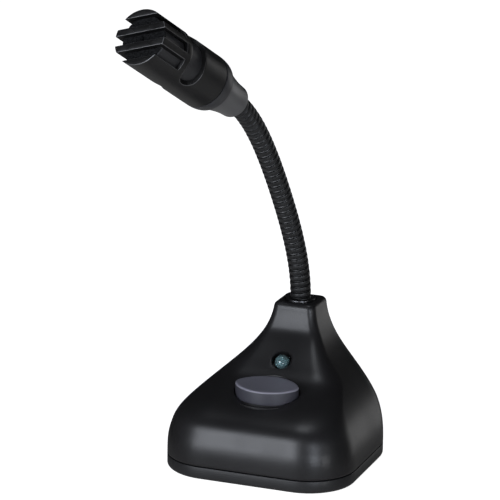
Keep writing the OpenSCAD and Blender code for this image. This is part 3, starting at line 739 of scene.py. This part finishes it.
def makeLamp():
    r = lampShape["diameter"] / 2
    dome = lampShape["rise"] - r
    bm = bmesh.new()
    out, low, high = r + lampShape["flange"], lampShape["flangeLow"], lampShape["flangeTop"]
    profile = [(0, low), (out, low), (out, high), (r, high)]
    profile += roundedCorner((0, dome), r, 0, 84, 14) + [(0, dome + r)]
    spunProfile(bm, profile, 64)
    lens = pieceFrom(bm, "lamp_lens", lampPlace)
    dress(lens, "base", "lamp_clear", ["led_lamp"])

    # cup that carries the die, with a flat post beside it
    bm = bmesh.new()
    spunProfile(bm, lampShape["cup"], 40)
    bmesh.ops.translate(bm, vec=(lampShape["cupShift"] * mm, 0, 0), verts=bm.verts)
    turn = (Matrix.Translation(Vector(lampShape["postPlace"]) * mm)
            @ Matrix.Diagonal((*lampShape["postSize"], 1)))
    made = bmesh.ops.create_cube(bm, size=mm, matrix=turn)
    edges = list(dict.fromkeys(e for v in made["verts"] for e in v.link_edges))
    bmesh.ops.bevel(bm, geom=edges, offset=lampShape["postRound"] * mm, offset_type="OFFSET", affect="EDGES",
                    segments=2, profile=0.5, material=-1)
    cup = pieceFrom(bm, "lamp_cup", lampPlace)
    dress(cup, "base", "lamp_clear", finish=lampCup)


makeLamp()
print("lamp made")

# the winding's profile is given for one turn of "turn" mm, and is scaled to the real pitch
neck = {
    "radius": 3.5, "links": 10, "turnsPerLink": 4, "stepsPerTurn": 36, "sink": 0.6, "headEnd": 2.4,
    "turn": 2.16,
    "band": (0.05, 1.44), "bandLow": 3.26, "bandFlat": 0.45, "groove": 1.49, "grooveRadius": 3.08,
    "wedge": (1.54, 2.06), "wedgeRadius": 3.42, "wedgeLow": 3.26, "wedgeRound": (0.05, 0.17), "valley": 3.1,
    "stud": [(1.9, -8), (2.8, -8), (3.0, -7.8), (3.0, -0.72), (2.5, -0.72), (2.5, 0.9), (1.9, 0.9),
             (1.9, -8)],
}
head = {"lean": 59.5, "heading": 16, "roll": 18}
headTurn = (Matrix.Rotation(math.radians(-head["heading"]), 4, "Z")
            @ Matrix.Rotation(math.radians(head["lean"]), 4, "X"))
headAxis = (headTurn @ Vector((0, 0, 1, 0))).to_3d()
links = neck["links"]
pivots = [jointPlaces["neck_%s_%d" % ("bend" if k % 2 else "sway", (k + 1) // 2)]
          for k in range(1, links + 1)]
linkStep = 2 * (pivots[0] - neckFoot).length
pitch = linkStep / neck["turnsPerLink"]
side = Vector(next(j["axis"] for j in frame["joints"] if j["name"] == "neck_bend_1")).normalized()
directions = [Vector((0, 0, 1))] + [(b - a).normalized() for a, b in zip(pivots, pivots[1:])] + [headAxis]
linkEnds = [neckFoot] + [p + d * linkStep / 2 for p, d in zip(pivots, directions[1:])]


def neckLine(s):
    # point and direction at a distance along the neck, on one smooth curve through the links' ends
    k = min(links - 1, max(0, int(s // linkStep)))
    t = s / linkStep - k
    if s < 0:
        return neckFoot + directions[0] * s, directions[0]
    if s > links * linkStep:
        return linkEnds[-1] + headAxis * (s - links * linkStep), headAxis
    a, b, c = linkEnds[k], pivots[k], linkEnds[k + 1]
    place = a * (1 - t) ** 2 + b * 2 * t * (1 - t) + c * t * t
    return place, ((b - a) * (1 - t) + (c - b) * t).normalized()


def turnProfile():
    # one pitch of the winding: a broad flattened wire, a fine groove, a thin wedge wire, a dark valley
    (b0, b1), (w0, w1) = neck["band"], neck["wedge"]
    low, rise = neck["bandLow"], neck["radius"] - neck["bandLow"]
    points = [(neck["valley"], 0.0)]
    for i in range(11):
        a = math.pi * i / 10
        share = 0.5 - 0.5 * math.cos(a)
        points.append((low + rise * math.sin(a) ** neck["bandFlat"], b0 + (b1 - b0) * share))
    points.append((neck["grooveRadius"], neck["groove"]))
    down, along = neck["wedgeRound"]
    shoulder = neck["wedgeRadius"] - down
    points += [(neck["wedgeLow"], w0), (shoulder, w0 + along), (neck["wedgeRadius"], (w0 + w1) / 2),
               (shoulder, w1 - along), (neck["wedgeLow"], w1), (neck["valley"], neck["turn"])]
    scale = pitch / mm / neck["turn"]
    return [(r, z * scale) for r, z in points]


def windingPiece(name, firstTurn, turnCount, floor=None, ceiling=None):
    # the profile is swept as a helix on a straight axis, then laid along the neck's curve
    bm = bmesh.new()
    start = firstTurn * pitch - pitch / 2
    verts = [bm.verts.new((r * mm, 0, start + z * mm)) for r, z in turnProfile()]
    edges = [bm.edges.new(pair) for pair in zip(verts, verts[1:])]
    steps = neck["stepsPerTurn"] * turnCount
    bmesh.ops.spin(bm, geom=verts + edges, cent=(0, 0, 0), axis=(0, 0, 1), angle=math.tau * turnCount,
                   steps=steps, dvec=(0, 0, pitch / neck["stepsPerTurn"]))
    bmesh.ops.remove_doubles(bm, verts=bm.verts, dist=2e-6)
    for height, above in ((floor, False), (ceiling, True)):
        if height is not None:
            bmesh.ops.bisect_plane(bm, geom=bm.verts[:] + bm.edges[:] + bm.faces[:], dist=1e-7,
                                   plane_co=(0, 0, height), plane_no=(0, 0, 1), clear_outer=above,
                                   clear_inner=not above)
    middle = bm.faces[:][len(bm.faces) // 2]
    if middle.normal.dot(Vector((*middle.calc_center_median().xy, 0))) < 0:
        bmesh.ops.reverse_faces(bm, faces=bm.faces)
    # how near each point is to the wire's crest, for the finish, before it is laid along the neck
    crest = bm.verts.layers.float.new("crest")
    for v in bm.verts:
        radius = v.co.xy.length / mm
        share = min(1, max(0, (radius - neck["radius"] + 0.22) / 0.2))
        v[crest] = share * share * (3 - 2 * share)
        place, along = neckLine(v.co.z)
        out = side.cross(along).normalized()
        v.co = place + side * v.co.y + out * v.co.x
    return pieceFrom(bm, name)


def makeNeck():
    for k in range(1, links + 1):
        piece = windingPiece("neck_winding_%d" % k, neck["turnsPerLink"] * (k - 1), neck["turnsPerLink"])
        dress(piece, None, "neck_black", ["neck_coil_%d" % k], sharp=50)
        linkEnds[k - 1] + directions[k - 1] * pitch / 2
        linkEnds[k] - directions[k] * pitch / 2
        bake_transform(piece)
    foot = windingPiece("neck_winding_foot", -1, 1, floor=-neck["sink"] * mm)
    dress(foot, "base", "neck_black", sharp=50)
    tip = windingPiece("neck_winding_tip", neck["turnsPerLink"] * links, 2,
                       ceiling=links * linkStep + neck["headEnd"] * mm)
    dress(tip, "head", "neck_black", sharp=50)
    bm = bmesh.new()
    spunProfile(bm, neck["stud"], 64)
    stud = pieceFrom(bm, "neck_stud_tube", Matrix.Translation(neckFoot))
    dress(stud, "base", "neck_black", ["neck_stud"])


makeNeck()
print("neck made")

collar = {"outer": 4.95, "bore": 3.56, "bottom": -0.7, "top": 0.4,
          "round": 0.22, "boreRound": 0.1, "chamfer": 0.15}


def makeCollar():
    outer, bore, low, high, r = (collar[k] for k in ("outer", "bore", "bottom", "top", "round"))
    small, chamfer = collar["boreRound"], collar["chamfer"]
    profile = [(bore, low), (outer - chamfer, low), (outer, low + chamfer)]
    profile += roundedCorner((outer - r, high - r), r, 0, 90)
    profile += roundedCorner((bore + small, high - small), small, 90, 180, 3) + [(bore, low)]
    bm = bmesh.new()
    spunProfile(bm, profile, 96)
    piece = pieceFrom(bm, "neck_washer", Matrix.Translation(neckFoot))
    return dress(piece, "base", "washer_metal", ["neck_collar"])


makeCollar()

headPlace = Matrix.Translation(linkEnds[-1]) @ headTurn @ Matrix.Rotation(math.radians(head["roll"]), 4, "Z")
# heights along the head's axis, in mm from the end of the neck; outline points are (height, radius)
ferrule = {
    "skirt": -1.4, "length": 12.7, "spigot": 6.75, "spigotLength": 9.5, "bore": 3.6, "boreDepth": 1.8,
    "leadBore": 1.3, "boreChamfer": 0.18, "skirtRound": [(0, 4.72), (0.06, 5.0), (0.22, 5.22), (0.42, 5.35)],
    "outline": [(-0.75, 5.42), (0.3, 5.5), (1.8, 5.6), (3.2, 5.75), (4.8, 5.98), (6.2, 6.24), (7.6, 6.53),
                (9, 6.86), (10.2, 7.18), (11.2, 7.46), (12, 7.7), (12.55, 7.87), (12.64, 7.9), (12.7, 7.86)],
}


def makeFerrule():
    low, high, bore, lead, deep, spigot = (
        ferrule[k] for k in ("skirt", "length", "bore", "leadBore", "boreDepth", "spigot"))
    end, chamfer = high + ferrule["spigotLength"], ferrule["boreChamfer"]
    profile = [(lead, deep), (bore, deep), (bore, low + chamfer), (bore + chamfer, low)]
    profile += [(r, low + z) for z, r in ferrule["skirtRound"]]
    profile += [(r, z) for z, r in ferrule["outline"]]
    profile += [(spigot, high), (spigot, end), (lead, end), (lead, deep)]
    bm = bmesh.new()
    spunProfile(bm, profile)
    return dress(pieceFrom(bm, "head_neckpiece", headPlace), "head", "ferrule_grey", ["head_ferrule"])


makeFerrule()

barrel = {
    "radius": 9.1, "ringStart": 12.7, "ringIn": 1.15, "ringBore": 6.8, "start": 18, "end": 53.8,
    "groove": 0.35, "grooveIn": 0.5, "wall": 1.45, "face": 2.0, "bevel": 0.28, "rim": 0.13, "ringSteps": 16,
    "slotWidth": 3.1, "slotPitch": 5.27, "slotLength": 13, "slotReach": 12,
    "portRadius": 4.05, "portOut": 1.65, "portBack": 19.5, "portReach": 20,
}


def makeRing():
    # a quarter of an ellipse from the ferrule's end out to the thin groove behind the barrel
    r, low, high, bore, inset, steps = (
        barrel[k] for k in ("radius", "ringStart", "start", "ringBore", "ringIn", "ringSteps"))
    edge = high - barrel["groove"]
    grooveRadius = r - barrel["grooveIn"]
    profile = [(bore, low), (r - inset - 0.06, low), (r - inset + 0.02, low + 0.04)]
    for i in range(1, steps + 1):
        a = math.pi / 2 * i / steps
        profile.append((r - inset * (1 - math.sin(a)), edge - (edge - low) * math.cos(a)))
    profile += [(r - 0.03, edge + 0.06), (grooveRadius, edge + 0.08), (grooveRadius, high), (bore, high),
                (bore, low)]
    bm = bmesh.new()
    spunProfile(bm, profile)
    piece = pieceFrom(bm, "head_back_ring", headPlace)
    return dress(piece, "head", "head_black", ["head_ring"], finish=ringPaintedSheen)


makeRing()


def boxAlong(place, low, high):
    # plain cutter box between two corners in mm, in the place's own directions
    bm = bmesh.new()
    size = [h - l for l, h in zip(low, high)]
    middle = [(h + l) / 2 for l, h in zip(low, high)]
    turn = place @ Matrix.Translation(Vector(middle) * mm) @ Matrix.Diagonal((*size, 1))
    bmesh.ops.create_cube(bm, size=mm, matrix=turn)
    return pieceFrom(bm, "cutter")


def barrelProfile():
    r, low, high, bevel = (barrel[k] for k in ("radius", "start", "end", "bevel"))
    inner, grooveRadius, floor = r - barrel["wall"], r - barrel["grooveIn"], high - barrel["face"]
    profile = [(grooveRadius, low), (r - 0.14, low), (r, low + 0.16)]
    profile += [(r, low + (high - low - 0.5) * i / 12) for i in range(1, 13)]
    profile += roundedCorner((r - bevel, high - bevel), bevel, 0, 90, 4)
    profile += [(r * 0.6, high), (0, high), (0, floor), (inner, floor), (inner, low), (grooveRadius, low)]
    return profile


def cutBarrel(piece):
    # three slots through the face and both sides, then the two ports behind them
    end, half, reach = barrel["end"], barrel["slotWidth"] / 2, barrel["slotReach"]
    low = end - barrel["slotLength"]
    for i in (-1, 0, 1):
        y = i * barrel["slotPitch"]
        cutWith(piece, boxAlong(headPlace, (-reach, y - half, low), (reach, y + half, end + 2)))
    for side in (-1, 1):
        spot = Vector((side * (barrel["radius"] - barrel["portOut"]), 0, end - barrel["portBack"]))
        place = headPlace @ Matrix.Translation(spot * mm) @ Matrix.Rotation(math.radians(90), 4, "X")
        cutWith(piece, rodAlong(place, barrel["portRadius"], -barrel["portReach"], barrel["portReach"], 80))


def makeBarrel():
    r, start, end, rim = (barrel[k] for k in ("radius", "start", "end", "rim"))
    bm = bmesh.new()
    spunProfile(bm, barrelProfile())
    piece = pieceFrom(bm, "head_cage", headPlace)
    cutBarrel(piece)
    back = headPlace.inverted()

    def isRim(place):
        spot = back @ place / mm
        return (spot.xy.length > r - 0.2 and spot.z > start + 1) or spot.z > end - 0.1

    softenRims(piece, rim * mm, isRim)
    dress(piece, "head", "head_black", ["head_barrel"])
    # the cut walls are rougher and painted darker as shade, and the rims round the openings are painted bright as
    # glints
    for extra in (slotWallShade, paintedRimGlint):
        piece.data.materials.append(extra)
    for face in piece.data.polygons:
        spot = back @ face.center / mm
        normal = back.to_3x3() @ face.normal
        out = spot.xy.length
        outward = normal.xy.dot(spot.xy.normalized())
        onSideRim = out > r - rim and outward > 0.3
        onFaceRim = spot.z > end - rim and normal.z > 0.3
        # painted shade: faces inside the slots and windows get the darker wall finish
        if spot.z < end - rim - 0.02 and out < r - rim - 0.02 and abs(normal.z) < 0.5:
            face.material_index = 1
        # painted glint: the rims round the openings get the bright finish
        elif spot.z > start - 0.01 and outward < 0.97 and normal.z < 0.97 and (onSideRim or onFaceRim):
            face.material_index = 2
    return piece


makeBarrel()
print("head shell made")

foam = {"radius": 7.55, "front": 51.72, "thick": 0.55, "grain": 0.16, "rings": 44, "lump": 0.42, "seed": 4}


def makeFoam():
    # a thin disc whose front is raised and sunk like open foam
    r, front, rings = foam["radius"], foam["front"], foam["rings"]
    back = front - foam["thick"]
    profile = [(0, back), (r, back), (r, front - 0.08)]
    profile += [(r * (1 - i / rings), front) for i in range(rings + 1)]
    bm = bmesh.new()
    spunProfile(bm, profile, 180)
    random.seed(foam["seed"])
    for v in bm.verts:
        if v.co.z > (front - 0.03) * mm:
            lump = noise.noise(v.co / (foam["lump"] * mm)) - 0.4 + random.uniform(-0.35, 0.35)
            v.co.z += foam["grain"] * mm * lump
    return dress(pieceFrom(bm, "head_foam", headPlace), "head", "screen_black", ["face_screen"])


makeFoam()

sleeve = {"radius": 7.6, "wall": 0.8, "start": 19.2, "end": 51.1, "chamfer": 0.15}


def makeSleeve():
    r, low, high, chamfer = (sleeve[k] for k in ("radius", "start", "end", "chamfer"))
    bore = r - sleeve["wall"]
    bm = bmesh.new()
    spunProfile(bm, [(bore, low), (r - chamfer, low), (r, low + chamfer), (r, high - chamfer),
                     (r - chamfer, high), (bore, high), (bore, low)])
    return dress(pieceFrom(bm, "head_sleeve", headPlace), "head", "sleeve_grey", ["capsule_sleeve"])


makeSleeve()
print("head inside made")

# the other nodes keep their shape and get the finish of their slot
slotOfNode = {p["node"]: p["material_slot"] for p in record["subparts"]}
for name, node in frame["nodes"].items():
    node.data.materials.clear()
    node.data.materials.append(finishes[slotOfNode[name]])
print("frame nodes dressed")


stage = {
    "floorSize": 6, "glow": 0.97, "aim": (0, 0, 0.05),
    "above": 0.012, "below": 0.21, "fade": (-0.12, -0.55),  # the room's light, and where it changes
}
# azimuth from the front, positive to the right, elevation, distance, width, height, power, colour
softboxes = {
    "frontBox": (-21, 11, 1.5, 0.75, 0.8, 15, (0.88, 0.92, 1.0)),
    "above": (-60, 86, 1.5, 0.4, 0.4, 3, (0.9, 0.94, 1.0)),
    "rightStrip": (36, 4, 1.3, 0.2, 0.6, 6, (0.84, 0.9, 1.0)),
    "rightLow": (61, -3, 1.3, 0.16, 0.3, 2.4, (0.95, 0.97, 1.0)),
    "backRight": (152, -2, 1.4, 0.6, 0.6, 1.15, (1, 1, 1)),
}


def makeFloor():
    bm = bmesh.new()
    bmesh.ops.create_grid(bm, x_segments=4, y_segments=4, size=stage["floorSize"] / 2)
    floor = pieceFrom(bm, "floor")
    f = Finish("floorPaper", Roughness=0.9)
    f.shader.inputs["Emission Strength"].default_value = stage["glow"]
    tone = f.ramp(f.noise(0.8, 1), 0.3, 0.7, 0.97, 1.0)
    f.feed(Base_Color=f.shades((0.9, 0.9, 0.9), (0.95, 0.95, 0.95), tone),
           Emission_Color=f.shades((0.9, 0.9, 0.9), (1, 1, 1), tone))
    floor.data.materials.append(f.material)
    floor.visible_glossy = False


def stageDirection(azimuth, elevation):
    # away from the middle of the stage, from two angles in degrees
    a, e = math.radians(azimuth), math.radians(elevation)
    return Vector((math.sin(a) * math.cos(e), -math.cos(a) * math.cos(e), math.sin(e)))


def makeSoftbox(name, azimuth, elevation, distance, width, height, power, colour):
    out = stageDirection(azimuth, elevation)
    lamp = bpy.data.lights.new(name, "AREA")
    lamp.shape = "RECTANGLE"
    lamp.size = width
    lamp.size_y = height
    lamp.energy = power
    lamp.color = colour
    holder = bpy.data.objects.new(name, lamp)
    bpy.context.scene.collection.objects.link(holder)
    holder.matrix_world = (Matrix.Translation(Vector(stage["aim"]) + out * distance)
                           @ out.to_track_quat("Z", "Y").to_matrix().to_4x4())


def makeRoom():
    # dark above, paler towards the ground that the object stands on
    world = bpy.data.worlds.new("room")
    bpy.context.scene.world = world
    world.use_nodes = True
    room = Nodes(world.node_tree)
    height = room.height(room.add("ShaderNodeTexCoord", {}, {}, "Generated"))
    strength = room.ramp(height, *stage["fade"], stage["above"], stage["below"])
    background = room.tree.nodes["Background"]
    background.inputs["Color"].default_value = (1, 1, 1, 1)
    room.tree.links.new(strength.socket, background.inputs["Strength"])


makeFloor()
makeRoom()
for name, setting in softboxes.items():
    makeSoftbox(name, *setting)

view = {
    "azimuth": 20.84, "elevation": 15.5, "roll": 0.76, "distance": 892.9, "lens": 196.3,
    "target": (-10.19, 0.07, 71.13),
}


def makeCamera():
    a, e, roll = (math.radians(view[k]) for k in ("azimuth", "elevation", "roll"))
    back = stageDirection(view["azimuth"], view["elevation"])
    right = Vector((math.cos(a), math.sin(a), 0))
    up = Vector((-math.sin(a) * math.sin(e), math.cos(a) * math.sin(e), math.cos(e)))
    across = right * math.cos(roll) + up * math.sin(roll)
    upward = up * math.cos(roll) - right * math.sin(roll)
    lens = bpy.data.cameras.new("camera")
    lens.lens = view["lens"]
    lens.sensor_width = 36
    lens.clip_start = 0.05
    lens.clip_end = 20
    camera = bpy.data.objects.new("camera", lens)
    bpy.context.scene.collection.objects.link(camera)
    turn = Matrix((across, upward, back)).transposed().to_4x4()
    camera.matrix_world = Matrix.Translation((Vector(view["target"]) + back * view["distance"]) * mm) @ turn
    bpy.context.scene.camera = camera


makeCamera()
bpy.context.scene.view_settings.view_transform = "Standard"
print("stage set")
